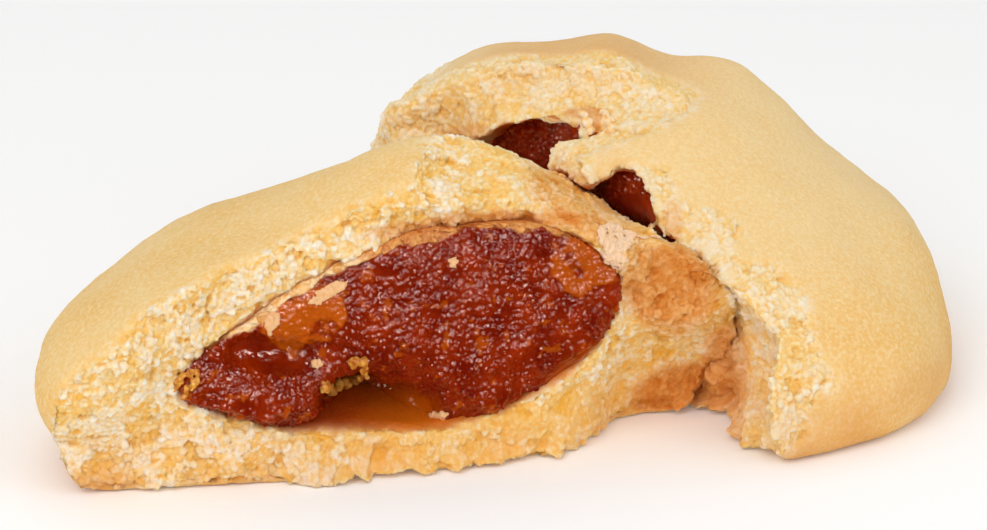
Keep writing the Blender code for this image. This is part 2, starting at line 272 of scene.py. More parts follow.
def back_tear(x, z):
    """y of the back half's torn face, as in the part's source."""
    below = -3.0 + 2.0 * ramp(-x, 14.0, 17.0) + 2.7 * ramp(x, 8.0, 13.0)
    corner = -5.0 * bell(x, -11.3, 3.0) * ramp(z, 8.0, 14.0)
    before_fold = ramp(-x, -9.4, -6.2)
    peeled = (x + 7.3) * ramp(x, -9.0, -5.0) * before_fold * ramp(z, 18.5, 22.0)
    hollow_end = 6.6 * ramp(x, 2.0, 8.0) * ramp(-x, -29.5, -21.5) * ramp(-z, -13.5, -8.0)
    flake = -4.2 * bell(x, 21.5, 2.6) * ramp(-z, -4.5, -1.0)
    tucked_tip = 1.8 * ramp(x, 23.0, 26.5) * ramp(-z, -4.0, -0.5)
    return below + corner + peeled + hollow_end + flake + tucked_tip


def inside_pocket(pocket, local, grow):
    """Whether a point lies in the lens of jam, grown on all sides."""
    left, right = pocket.ends
    x, y, z = local.T
    to_left = np.clip((pocket.crest - x) / (pocket.crest - left + grow), 0.0, 1.0)
    to_right = np.clip((x - pocket.crest) / (right + grow - pocket.crest), 0.0, 1.0)
    thickness = np.where(x < pocket.crest, (1.0 - to_left ** 1.6) ** 0.8, (1.0 - to_right ** 2.2) ** 0.5)
    middle_line = np.interp(x, (left, pocket.crest, right), pocket.heights)
    within_ends = (x > left - grow) & (x < right + grow)
    within_depth = np.abs(y - pocket.y) < thickness * pocket.depth * 1.12 + grow
    return within_ends & within_depth & (
        np.abs(z - middle_line) < thickness * pocket.half_height * 1.12 + grow)


def to_local(half, points):
    """Points of the part, in millimetres, in a half's own frame."""
    turn = np.radians(half.turn)
    shifted = points[:, :2] + np.array(LAYOUT_MIDDLE) - np.array(half.place)
    x = shifted[:, 0] * np.cos(turn) + shifted[:, 1] * np.sin(turn)
    y = -shifted[:, 0] * np.sin(turn) + shifted[:, 1] * np.cos(turn)
    return np.column_stack([x, y, points[:, 2]])


def inwards_of(half):
    """The direction from a half's torn face into its dough."""
    turn = np.radians(half.turn)
    return np.array((-np.sin(turn), np.cos(turn), 0.0))


# ---------------------------------------------------------------- places given on the photograph

def camera_axes():
    """From the target back to the camera, to the right, and up."""
    rise = np.radians(CAMERA_ELEVATION)
    return (np.array((0.0, -np.cos(rise), np.sin(rise))), np.array((1.0, 0.0, 0.0)),
            np.array((0.0, np.sin(rise), np.cos(rise))))


PIXELS_TO_CAMERA = CAMERA_LENS / SENSOR * PHOTO_SIZE[0]


def pixels_of(points):
    """Where points of the part, in millimetres, lie on the photograph."""
    back, right, up = camera_axes()
    from_target = points - np.array(CAMERA_TARGET)
    scale = PIXELS_TO_CAMERA / (CAMERA_DISTANCE - from_target @ back)
    return np.column_stack([PHOTO_SIZE[0] / 2.0 + from_target @ right * scale,
                            PHOTO_SIZE[1] / 2.0 - from_target @ up * scale])


def seen_at(surface, pixel):
    """The point of a surface that a pixel of the photograph shows, and the normal there."""
    back, right, up = camera_axes()
    eye = np.array(CAMERA_TARGET) + back * CAMERA_DISTANCE
    across = (pixel[0] - PHOTO_SIZE[0] / 2.0) / PIXELS_TO_CAMERA
    rise = (PHOTO_SIZE[1] / 2.0 - pixel[1]) / PIXELS_TO_CAMERA
    place, normal, _, _ = surface.ray_cast(Vector(eye), Vector(right * across + up * rise - back))
    return None if place is None else (np.array(place), np.array(normal))


def ellipse_reach(pixels, x, y, wide, high, lean=0.0):
    """How far pixels lie from an ellipse's middle, as shares of its half widths."""
    turn = np.radians(lean)
    across, down = pixels[:, 0] - x, pixels[:, 1] - y
    along = (across * np.cos(turn) - down * np.sin(turn)) / wide
    beside = (across * np.sin(turn) + down * np.cos(turn)) / high
    return np.hypot(along, beside)


def spot(pixels, *ellipse):
    """1 in the middle of an ellipse on the photograph, and 0 beyond it."""
    return 1.0 - ramp(ellipse_reach(pixels, *ellipse), 0.55, 1.05)


# ---------------------------------------------------------------- dense meshes

def node_arrays(node):
    """A CAD node's vertices in millimetres, and its triangles."""
    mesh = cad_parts[node].data
    mesh.calc_loop_triangles()
    points = np.empty(len(mesh.vertices) * 3)
    mesh.vertices.foreach_get("co", points)
    triangles = np.empty(len(mesh.loop_triangles) * 3, dtype=np.int32)
    mesh.loop_triangles.foreach_get("vertices", triangles)
    return points.reshape(-1, 3) / MM, triangles.reshape(-1, 3)


def remeshed(name, points, triangles, voxel, cutter=None):
    """A mesh in millimetres of even quads around a closed one, less what a cutter takes away."""
    rough = bpy.data.meshes.new(name)
    rough.from_pydata(points.tolist(), [], triangles.tolist())
    holder = bpy.data.objects.new(name, rough)
    bpy.context.scene.collection.objects.link(holder)
    if cutter:
        cut = holder.modifiers.new("cut", "BOOLEAN")
        cut.operation = "DIFFERENCE"
        cut.solver = "EXACT"
        cut.object = cutter
    modifier = holder.modifiers.new("even", "REMESH")
    modifier.mode = "VOXEL"
    modifier.voxel_size = voxel
    graph = bpy.context.evaluated_depsgraph_get()
    even = bpy.data.meshes.new_from_object(holder.evaluated_get(graph))
    bpy.data.objects.remove(holder)
    bpy.data.meshes.remove(rough)
    return even


def view_wedge(name, outline, near, far):
    """What the camera sees within an outline on the photograph, between two depths."""
    back, right, up = camera_axes()
    eye = np.array(CAMERA_TARGET) + back * CAMERA_DISTANCE
    rings = [[eye + (right * (x - PHOTO_SIZE[0] / 2.0) / PIXELS_TO_CAMERA
                     + up * (PHOTO_SIZE[1] / 2.0 - y) / PIXELS_TO_CAMERA - back) * depth
              for x, y in outline] for depth in (near, far)]
    count = len(outline)
    sides = [(i, (i + 1) % count, count + (i + 1) % count, count + i) for i in range(count)]
    mesh = bpy.data.meshes.new(name)
    mesh.from_pydata([corner.tolist() for ring in rings for corner in ring], [],
                     [tuple(range(count))[::-1], tuple(range(count, 2 * count)), *sides])
    mesh_source = bmesh.new()
    mesh_source.from_mesh(mesh)
    bmesh.ops.recalc_face_normals(mesh_source, faces=mesh_source.faces)
    mesh_source.to_mesh(mesh)
    mesh_source.free()
    return bpy.data.objects.new(name, mesh)


def coordinates(mesh):
    points = np.empty(len(mesh.vertices) * 3)
    mesh.vertices.foreach_get("co", points)
    return points.reshape(-1, 3)


def set_coordinates(mesh, points):
    mesh.vertices.foreach_set("co", points.ravel())
    mesh.update()


def normals_of(mesh):
    normals = np.empty(len(mesh.vertices) * 3)
    mesh.vertices.foreach_get("normal", normals)
    return normals.reshape(-1, 3)


def outwards_of(mesh, smooth, rounds):
    """Directions away from a mesh's surface, averaged over so many rounds of neighbours."""
    out = smooth(normals_of(mesh), rounds)
    return out / (np.linalg.norm(out, axis=1, keepdims=True) + 1e-9)


def refine(mesh, chosen):
    """Splits the faces whose corners are all chosen into four, once."""
    mesh_source = bmesh.new()
    mesh_source.from_mesh(mesh)
    mesh_source.verts.ensure_lookup_table()
    faces = [face for face in mesh_source.faces if all(chosen[vertex.index] for vertex in face.verts)]
    edges = list({edge for face in faces for edge in face.edges})
    bmesh.ops.subdivide_edges(mesh_source, edges=edges, cuts=1, use_grid_fill=True)
    mesh_source.to_mesh(mesh)
    mesh_source.free()
    mesh.update()


class Smoother:
    """Averages values over the neighbours that share an edge."""

    def __init__(self, mesh):
        edges = np.empty(len(mesh.edges) * 2, dtype=np.int32)
        mesh.edges.foreach_get("vertices", edges)
        self.first, self.second = edges.reshape(-1, 2).T
        self.count = len(mesh.vertices)
        self.degree = np.bincount(edges, minlength=self.count)

    def mean(self, values):
        total = (np.bincount(self.first, values[self.second], self.count)
                 + np.bincount(self.second, values[self.first], self.count))
        return total / np.maximum(self.degree, 1)

    def __call__(self, values, rounds, share=0.5):
        for _ in range(rounds):
            if values.ndim == 1:
                values = values + share * (self.mean(values) - values)
            else:
                around = np.column_stack([self.mean(column) for column in values.T])
                values = values + share * (around - values)
        return values


def write_values(mesh, name, values):
    attribute = mesh.attributes.new(name, "FLOAT", "POINT")
    attribute.data.foreach_set("value", values.astype(np.float32))


def add_piece(name, mesh, material, slot, *replaced):
    """Puts a mesh, given in millimetres, into the scene as a piece of the part. Corners past
    the solids' box are held at its faces."""
    low, high = np.array(cad_low) / MM, np.array(cad_high) / MM
    set_coordinates(mesh, np.clip(coordinates(mesh), low, high) * MM)
    mesh.name = name
    mesh.shade_smooth()
    mesh.materials.clear()
    mesh.materials.append(material)
    piece = bpy.data.objects.new(name, mesh)
    bpy.context.scene.collection.objects.link(piece)
    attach(piece, "root")
    if replaced:
        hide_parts(*replaced)
    return piece


# ---------------------------------------------------------------- materials

def srgb(red, green, blue):
    """A colour given as 0 to 255 sRGB, in linear light."""
    channels = np.array((red, green, blue)) / 255.0
    linear = np.where(channels <= 0.04045, channels / 12.92, ((channels + 0.055) / 1.055) ** 2.4)
    return (*linear.tolist(), 1.0)


class Nodes:
    """Short names for building a node tree."""

    def __init__(self, name):
        self.material = bpy.data.materials.new(name)
        self.material.use_nodes = True
        self.tree = self.material.node_tree
        self.shader = self.tree.nodes["Principled BSDF"]

    def link(self, source, target):
        self.tree.links.new(source, target)

    def value(self, name):
        node = self.tree.nodes.new("ShaderNodeAttribute")
        node.attribute_name = name
        return node.outputs["Fac"]

    def noise(self, scale, detail=3.0, rough=0.5):
        """Noise whose scale is in lumps per millimetre."""
        node = self.tree.nodes.new("ShaderNodeTexNoise")
        node.inputs["Scale"].default_value = scale / MM
        node.inputs["Detail"].default_value = detail
        node.inputs["Roughness"].default_value = rough
        place = self.tree.nodes.new("ShaderNodeTexCoord")
        self.link(place.outputs["Object"], node.inputs["Vector"])
        return node.outputs["Fac"]

    def grains(self, scale):
        """Distance to the nearest of scattered points, so many of them per millimetre."""
        node = self.tree.nodes.new("ShaderNodeTexVoronoi")
        node.inputs["Scale"].default_value = scale / MM
        place = self.tree.nodes.new("ShaderNodeTexCoord")
        self.link(place.outputs["Object"], node.inputs["Vector"])
        return node.outputs["Distance"]

    def maths(self, operation, first, second):
        node = self.tree.nodes.new("ShaderNodeMath")
        node.operation = operation
        for socket, item in zip(node.inputs, (first, second)):
            if isinstance(item, float):
                socket.default_value = item
            else:
                self.link(item, socket)
        return node.outputs[0]

    def spread(self, item, low, high):
        """The item's range from low to high as 0 to 1, held there."""
        node = self.tree.nodes.new("ShaderNodeMapRange")
        self.link(item, node.inputs["Value"])
        node.inputs["From Min"].default_value = low
        node.inputs["From Max"].default_value = high
        return node.outputs["Result"]

    def mix(self, share, first, second):
        node = self.tree.nodes.new("ShaderNodeMix")
        node.data_type = "RGBA"
        self.link(share, node.inputs["Factor"])
        for socket, item in ((node.inputs["A"], first), (node.inputs["B"], second)):
            if isinstance(item, tuple):
                socket.default_value = item
            else:
                self.link(item, socket)
        return node.outputs["Result"]

    def bump(self, height, distance, strength=1.0):
        node = self.tree.nodes.new("ShaderNodeBump")
        node.inputs["Distance"].default_value = distance * MM
        node.inputs["Strength"].default_value = strength
        self.link(height, node.inputs["Height"])
        self.link(node.outputs["Normal"], self.shader.inputs["Normal"])


def dough_material(name, subsurface):
    """Pale baked crust, cream crumb with golden hollows, and dough stained by the jam. The hollows' gold
    is partly painted shade, and the stain colour is also laid as painted shade where the halves meet.
    """
    n = Nodes(name)
    fine = n.noise(3.2, detail=4.0, rough=0.6)
    patches = n.noise(0.16, detail=4.0)
    crust = n.mix(n.spread(patches, 0.3, 0.7), srgb(242, 188, 104), srgb(247, 203, 132))
    crust = n.mix(n.spread(fine, 0.42, 0.78), crust, srgb(253, 223, 170))
    crust = n.mix(n.value("fair"), crust, srgb(255, 228, 180))
    crust = n.mix(n.value("brown"), crust, srgb(222, 150, 76))
    pale = n.maths("ADD", n.value("pale"), n.maths("MULTIPLY", n.maths("SUBTRACT", fine, 0.5), 0.5))
    # The golden end of the crumb also carries the painted shade of its hollows
    crumb = n.mix(n.spread(pale, 0.08, 0.48), srgb(252, 187, 76), srgb(254, 212, 142))
    crumb = n.mix(n.spread(pale, 0.42, 0.84), crumb, srgb(255, 239, 219))
    crumb = n.mix(n.maths("MULTIPLY", n.value("brown"), 0.8), crumb, srgb(226, 156, 84))
    colour = n.mix(n.value("torn"), crust, crumb)
    # This stain colour is also laid as painted shade at the seam between the halves
    stained = n.mix(n.spread(pale, 0.1, 0.8), srgb(204, 100, 18), srgb(236, 164, 72))
    colour = n.mix(n.value("stain_and_shade"), colour, stained)
    syrup = n.mix(n.value("deep"), srgb(226, 112, 12), srgb(160, 56, 4))
    colour = n.mix(n.value("soaked"), colour, syrup)
    n.link(colour, n.shader.inputs["Base Color"])
    n.link(n.spread(n.value("soaked"), 1.6, 0.0), n.shader.inputs["Roughness"])
    n.shader.inputs["Specular IOR Level"].default_value = 0.15
    n.shader.inputs["Subsurface Weight"].default_value = subsurface
    n.shader.inputs["Subsurface Radius"].default_value = (1.0, 0.8, 0.55)
    n.shader.inputs["Subsurface Scale"].default_value = 0.55 * MM
    domes = n.maths("MULTIPLY", n.maths("SUBTRACT", 0.8, n.grains(2.3)), n.value("torn"))
    relief = n.maths("ADD", n.maths("MULTIPLY", domes, 0.40), n.noise(2.8, detail=4.0, rough=0.7))
    n.bump(relief, 0.20, 0.8)
    return n.material


def jam_material():
    """Dark red cooked fruit, sugary and wet, with clear amber places, and a lighter red painted on the
    tops of its beads as a highlight.
    """
    n = Nodes("jam")
    clots = n.noise(0.55, detail=3.0)
    colour = n.mix(n.spread(clots, 0.35, 0.7), srgb(116, 16, 0), srgb(156, 42, 2))
    # Bead tops are painted a lighter red: a painted highlight
    colour = n.mix(n.spread(n.value("bead"), 0.45, 1.0), colour, srgb(158, 50, 14))
    colour = n.mix(n.value("amber"), colour, srgb(208, 98, 4))
    grain = n.maths("MULTIPLY", n.maths("SUBTRACT", n.noise(2.6, detail=4.0, rough=0.65), 0.5), 1.6)
    # The skin's crumb tone comes from crumb() and carries its painted shade in the hollows
    grain = n.spread(n.maths("ADD", n.value("pale"), grain), 0.1, 0.8)
    stained = n.mix(grain, srgb(190, 100, 26), srgb(234, 164, 78))
    clean = n.mix(grain, srgb(244, 184, 92), srgb(254, 228, 184))
    colour = n.mix(n.value("skin"), colour, n.mix(n.value("cream"), stained, clean))
    n.link(colour, n.shader.inputs["Base Color"])
    rough = n.maths("ADD", n.spread(n.value("skin"), -0.2, 1.6),
                    n.maths("MULTIPLY", n.value("amber"), 0.04))
    n.link(rough, n.shader.inputs["Roughness"])
    n.shader.inputs["IOR"].default_value = 1.5
    n.link(n.spread(n.value("skin"), 1.0, -4.0), n.shader.inputs["Subsurface Weight"])
    n.shader.inputs["Subsurface Radius"].default_value = (1.0, 0.2, 0.05)
    n.shader.inputs["Subsurface Scale"].default_value = 0.6 * MM
    n.link(n.spread(n.value("skin"), 1.0, -7.0 / 3.0), n.shader.inputs["Coat Weight"])
    n.shader.inputs["Coat Roughness"].default_value = 0.05
    crumbs = n.maths("MULTIPLY", n.maths("SUBTRACT", 0.8, n.grains(2.3)), n.value("skin"))
    relief = n.maths("ADD", n.noise(4.5, detail=2.0, rough=0.6), n.maths("MULTIPLY", crumbs, 8.0))
    n.bump(relief, 0.05, 0.5)
    return n.material


def syrup_material():
    """Dried golden syrup, glossy and wrinkled."""
    n = Nodes("syrup")
    colour = n.mix(n.spread(n.noise(1.6, detail=3.0), 0.35, 0.65), srgb(176, 86, 8), srgb(240, 176, 74))
    n.link(colour, n.shader.inputs["Base Color"])
    n.shader.inputs["Roughness"].default_value = 0.12
    n.shader.inputs["Subsurface Weight"].default_value = 0.25
    n.shader.inputs["Subsurface Radius"].default_value = (1.0, 0.5, 0.1)
    n.shader.inputs["Subsurface Scale"].default_value = 0.6 * MM
    n.bump(n.noise(3.6, detail=3.0, rough=0.6), 0.25, 0.9)
    return n.material


# ---------------------------------------------------------------- dough

CRUST, TORN, WALL = 0, 1, 2


def triangle_kinds(node, half, tear, pocket):
    """Which CAD triangles are crust, which are torn crumb and which the wall of the jam pocket."""
    points, triangles = node_arrays(node)
    local = to_local(half, points)
    x, y, z = local.T
    on_tear = np.abs(y - tear(x, z) - crags(x, z, half.seed)) < CRAG_LEEWAY
    torn = on_tear[triangles].all(axis=1)
    corners = local[triangles]
    out = np.cross(corners[:, 1] - corners[:, 0], corners[:, 2] - corners[:, 0])

    def faces_in(middle):
        return (out * (corners.mean(axis=1) - np.array(middle))).sum(axis=1) < 0.0

    in_pocket = inside_pocket(pocket, local, 1.0)[triangles].all(axis=1)
    in_pocket &= faces_in((pocket.crest, pocket.y, pocket.heights[1]))
    hollowed = faces_in((0.0, half.middle, 2.0))
    return points, triangles, np.select([torn, in_pocket, hollowed], [TORN, WALL, TORN], CRUST)


def crumb(points, seed):
    """Height in millimetres of crumb over a torn face, and how pale it is. Pale grains stand in clusters,
    with small golden hollows between them. The hollows and the seams between grains are painted darker and
    more golden, as painted shade and glow, over the crumb's own uneven tone."""
    warp = 0.10 * np.column_stack([uneven(points, 0.6, seed + 3.0 + k) for k in range(3)])
    first, second, own, middles = cells(points + warp, 0.56, seed)
    patches = uneven(middles, 2.4, seed + 1.0) + 0.6 * uneven(middles, 1.1, seed + 2.0)
    cluster = ramp(patches + 0.4 * (own - 0.5), -0.22, 0.18)
    pits = ramp(uneven(middles, 1.4, seed + 20.0) + 0.3 * (own - 0.5), 0.20, 0.45)
    edge = ramp(second - first, 0.0, 0.30)
    dome = (1.0 - np.clip(first / 0.85, 0.0, 1.0) ** 2) * edge
    height = 0.22 * cluster + 0.05 * own + (0.10 + 0.10 * own) * dome - 0.32 * pits
    first, second, fine, _ = cells(points + 0.6 * warp, 0.34, seed + 9.0)
    granule = (0.04 + 0.08 * fine) * (1.0 - np.clip(first / 0.8, 0.0, 1.0) ** 2)
    granule *= ramp(second - first, 0.0, 0.3)
    # Less pale in the hollows (pits) and at the seams between grains: painted shade; the rest is the
    # crumb's own uneven tone
    pale = (0.42 + 0.08 * cluster + 0.13 * np.clip(patches, -0.8, 0.8) + 0.30 * (own - 0.5)
            + 0.32 * (fine - 0.5) + 0.10 * edge - 0.30 * pits)
    slow = 0.20 * uneven(points, 3.4, seed + 5.0)
    return height + granule + slow - 0.36, np.clip(pale, 0.0, 1.0)


def distances_to(places, targets):
    """How far each place is from the nearest target."""
    tree = KDTree(len(targets))
    for i, target in enumerate(targets.tolist()):
        tree.insert(target, i)
    tree.balance()
    return np.array([tree.find(place)[2] for place in places.tolist()])


def peel_width(half, local):
    """How far from the tear the crust is rubbed off, in millimetres."""
    x, _, z = local.T
    ragged = (0.45 + 0.55 * uneven(local, 1.7, half.seed + 40.0)
              + 0.35 * uneven(local, 0.7, half.seed + 41.0))
    if half is FRONT:
        thin_top = ramp(x, 3.0, 8.0) * ramp(z, 11.0, 14.0)
        return ragged + 9.0 * thin_top + 4.0 * ramp(x, 16.0, 19.0)
    rubbed = ramp(x, 9.0, 12.0) * ramp(z, 0.5, 3.0)
    above = ramp(z, 15.5, 18.0) * ramp(-x, -8.0, -4.0)
    return ragged + rubbed * (3.0 + 1.4 * uneven(local, 3.2, half.seed + 42.0)) + above * 2.2


def make_dough(node, half, tear, pocket, material, other, cutter=None):
    points, triangles, kinds = triangle_kinds(node, half, tear, pocket)
    mesh = remeshed(node, points, triangles, DOUGH_VOXEL, cutter)
    finder = BVHTree.FromPolygons(points.tolist(), triangles.tolist())

    def kinds_at(places):
        """The kinds of the nearest CAD triangles. What a cutter lays bare is torn too."""
        found = [finder.find_nearest(Vector(place)) for place in places.tolist()]
        laid_bare = np.array([distance for _, _, _, distance in found]) > 0.6 * DOUGH_VOXEL
        return np.where(laid_bare, TORN, kinds[[index for _, _, index, _ in found]])

    for _ in range(2):
        places = coordinates(mesh)
        kinds_here = kinds_at(places)
        width = peel_width(half, to_local(half, places))
        rubbed = distances_to(places, places[kinds_here == TORN]) < width
        rubbed &= (kinds_here == CRUST) & (places[:, 2] > 0.3)
        refine(mesh, rubbed | (kinds_here == TORN))
    places = coordinates(mesh)
    near = kinds_at(places)
    smooth = Smoother(mesh)
    places = close_seam(smooth(places, 18), other)
    set_coordinates(mesh, places)
    out = outwards_of(mesh, smooth, 6)
    local = to_local(half, places)
    x, y, z = local.T
    pixels = pixels_of(places)

    from_rim = distances_to(places, places[near == TORN])
    width = peel_width(half, local)
    peeled = 1.0 - ramp(from_rim, width - 0.25, width + 0.25)
    peeled *= ramp(z, 0.1, 0.9)
    torn = smooth(np.where(near == TORN, 1.0, peeled), 3)
    soaked = smooth((near == WALL).astype(float), 5)
    if half is FRONT:
        soaked *= 1.0 - 0.9 * spot(pixels, *CLEAN_LIP)
    else:
        bare = spot(pixels, *BARE_ROOF) * ramp(soaked, 0.0, 0.4)
        torn = np.maximum(torn, bare)
        soaked *= 1.0 - bare
    relief, pale = crumb(local, half.seed)
    calm = calmness(half, x, z)
    relief = relief * (1.0 - 0.5 * calm) - 0.1 * calm
    if half is FRONT:
        pale *= 1.0 - 0.35 * calm
    else:
        pale = 0.5 + (pale - 0.47) * (1.0 - calm)
        relief += 0.35 * spot(pixels, *THICK_ROOF)
    jags = uneven(local, 1.5, half.seed + 60.0) + 0.6 * uneven(local, 0.7, half.seed + 61.0)
    feet = FEET_BEHIND if half is BACK else FEET_IN_FRONT
    foot = sum(reach * spot(pixels, *ellipse) for reach, *ellipse in feet)
    jags = (jags - 0.25 + foot) * torn * ramp(-z, -1.8, -0.2)
    crust = 0.10 * uneven(local, 3.1, half.seed + 2.0) + 0.05 * uneven(local, 1.3, half.seed + 4.0)
    off_floor = ramp(z, 0.05, 0.6)
    height = torn * relief + ((1.0 - torn) * crust + dents(half, pixels)) * off_floor
    places = places + out * height[:, None] - inwards_of(half) * jags[:, None]
    if half is BACK:
        for column, row, wide, high, drop in DROOPS:
            places[:, 2] -= (drop * bell(pixels[:, 0], column, wide) * bell(pixels[:, 1], row, high)
                             * ramp(-y, -9.0, -6.0))
    set_coordinates(mesh, places)

    write_values(mesh, "torn", torn)
    write_values(mesh, "pale", pale)
    # Stain, with painted shade at the seam, in the darker orange
    stain_and_shade = stain_and_shade_of(half, places, local) * torn + 0.7 * smooth(soaked, 8)
    write_values(mesh, "stain_and_shade", np.clip(stain_and_shade, 0.0, 1.0))
    write_values(mesh, "soaked", soaked)
    write_values(mesh, "deep", 1.0 - ramp(pixels[:, 0], *DEEP_SYRUP))
    write_values(mesh, "brown", browning(half, local, torn))
    write_values(mesh, "fair", (0.35 if half is BACK else 0.05) * ramp(z, 7.0, 15.0))
    return add_piece(f"{node}_skin", mesh, material, "dough", node)


def close_seam(places, other):
    """Draws a half's surface towards the other half's solid where they nearly touch, apart from
    the cracks that the photograph shows. Both are drawn by more than half, so they overlap."""
    finder = BVHTree.FromPolygons(*[array.tolist() for array in node_arrays(other)])
    nearest = np.array([finder.find_nearest(Vector(place))[0] for place in places.tolist()])
    distance = np.linalg.norm(nearest - places, axis=1)
    pixels = pixels_of(places)
    crack = np.maximum.reduce([spot(pixels, *ellipse) for ellipse in CRACKS])
    at_right = ramp(pixels[:, 0], *JOINED_SEAM)
    share = np.maximum(SEAM_SHARE * ramp(-distance, -1.3, -0.6),
                       JOINED_SHARE * at_right * ramp(-distance, -1.8, -0.8))
    share *= 1.0 - crack
    return places + (nearest - places) * share[:, None]


def dents(half, pixels):
    """Slow swellings and dents of the crust in millimetres, placed on the photograph."""
    total = 0.0
    for height, *ellipse in DENTS_BEHIND if half is BACK else DENTS_IN_FRONT:
        total = total + height * bell(ellipse_reach(pixels, *ellipse), 0.0, 1.0)
    return total


def calmness(half, x, z):
    """Where the crumb is nearly flat, as shares: below the jam and at the right end in front,
    and high up and at the rubbed rim behind."""
    if half is BACK:
        return np.maximum(0.42 * ramp(z, 12.0, 15.0), 0.36 * ramp(x, 7.0, 11.0))
    below = ramp(-z, -6.5, -3.5) * ramp(x, -9.0, 0.0)
    right_end = ramp(x, 13.0, 17.0)
    above_right = ramp(x, 3.0, 8.0) * ramp(z, 14.0, 16.0)
    return np.maximum.reduce([0.8 * below, 0.25 * right_end, 0.6 * above_right])


def stain_and_shade_of(half, places, local):
    """Where jam has soaked the crumb, and where shade by the seam between the halves is painted in the
    same colour, as shares. What the photograph shows is given on it.
    """
    if half is BACK:
        pixels = pixels_of(places)
        ragged = 5.0 * uneven(local, 1.1, 53.0)
        # Left of the meeting edge, the darker orange is partly stain and partly painted shade of the
        # crevice between the halves
        between = ramp(np.interp(pixels[:, 1], *zip(*MEETING_EDGE)) + ragged - pixels[:, 0], -3.0, 4.0)
        between *= ramp(pixels[:, 1], *MEETING_TOP)
        stains = [strength * spot(pixels, *ellipse) for strength, *ellipse in STAINS_BEHIND]
        # The notch at the foot is painted darker orange: painted shade of its recess, partly stain
        notch = 0.8 * spot(pixels + 1.6 * ragged[:, None], *STAINED_AND_SHADED_NOTCH)
        return np.maximum.reduce([*stains, 0.45 * between, notch])
    wander = 7.0 * np.column_stack([uneven(local, 2.2, 51.0), uneven(local, 2.2, 52.0)])
    pixels = pixels_of(places) + wander
    # The right end and its foot are painted darker orange: partly jam stain, partly painted shade of the
    # crevice between the halves
    shaded_low_end = np.maximum.reduce([spot(pixels, *ellipse) for ellipse in STAINED_AND_SHADED_FOOT])
    total = (0.85 * spot(pixels, *STAINED_AND_SHADED_END) + 0.85 * shaded_low_end + 0.65 * spot(pixels, *STAINED_LIP)
             + 0.45 * spot(pixels, *STAINED_EDGE))
    return np.clip(total, 0.0, 1.0)


def browning(half, local, torn):
    """Baked brown of the crust low down and on the highest hump, and of the torn face's
    bottom edge."""
    x, _, z = local.T
    low = ramp(-z, -7.5, -0.3)
    patchy = 0.55 + 0.5 * uneven(local, 4.0, 31.0)
    if half is FRONT:
        corner = 0.8 * ramp(-x, 17.0, 23.0) * ramp(-z, -3.5, -0.5)
    else:
        corner = 0.5 * ramp(z, 20.0, 23.5) * (1.0 - torn)
    return np.clip(np.maximum(low * patchy * (1.0 - 0.5 * torn), corner * (0.7 + 0.5 * patchy)), 0.0, 1.0)


# ---------------------------------------------------------------- jam

def jam_relief(points, seed):
    """Height in millimetres of small wet beads over slow lumps, and how much of it is a bead's top, where
    the jam's colour is painted lighter as a highlight.
    """
    warp = 0.10 * np.column_stack([uneven(points, 0.5, seed + 13.0 + k) for k in range(3)])
    first, _, own, _ = cells(points + warp, 0.43, seed)
    round_top = 1.0 - np.clip(first / 0.62, 0.0, 1.0) ** 2
    bead = (0.12 + 0.18 * own) * round_top
    first, _, small, _ = cells(points, 0.25, seed + 5.0)
    bead += (0.03 + 0.07 * small) * (1.0 - np.clip(first / 0.62, 0.0, 1.0) ** 2)
    lumps = 0.26 * uneven(points, 1.7, seed + 3.0) + 0.12 * uneven(points, 0.9, seed + 4.0)
    return bead + lumps, round_top * own


def jam_places(local, pixels):
    """Where the front half's jam is hollow, sunk or smooth, as shares."""
    wander = 4.0 * np.column_stack([uneven(local, 1.9, 61.0), uneven(local, 1.9, 62.0)])
    wander += 3.0 * np.column_stack([uneven(local, 0.8, 63.0), uneven(local, 0.8, 64.0)])
    pixels = pixels + wander
    hollow = np.maximum.reduce([spot(pixels, *ellipse) for ellipse in HOLLOW])
    return pixels, hollow, spot(pixels, *RECESS), spot(pixels, *UNDERCUT)


def jam_shape(node, half, inwards):
    """The jam grown into the wall of its pocket, with the front half's hollow and recess sunk
    in it."""
    points, triangles = node_arrays(node)
    mesh = remeshed(node, points, triangles, JAM_VOXEL)
    smooth = Smoother(mesh)
    places = smooth(coordinates(mesh), 4)
    set_coordinates(mesh, places)
    out = outwards_of(mesh, smooth, 3)
    sideways = ramp(out @ inwards, -0.75, -0.1)
    places = places + out * (GAP_FILL + SIDE_FILL * sideways)[:, None]
    if half is FRONT:
        pixels, hollow, recess, _ = jam_places(to_local(half, places), pixels_of(places))
        sunk = RECESS_DEPTH * recess + HOLLOW_DEPTH * hollow - 0.5 * spot(pixels, *BELOW_RECESS)
        places = places + inwards * (smooth(sunk, 2) * (1.0 - sideways))[:, None]
    set_coordinates(mesh, places)
    mesh.calc_loop_triangles()
    triangles = np.array([triangle.vertices[:] for triangle in mesh.loop_triangles])
    return remeshed(node, places, triangles, JAM_VOXEL)


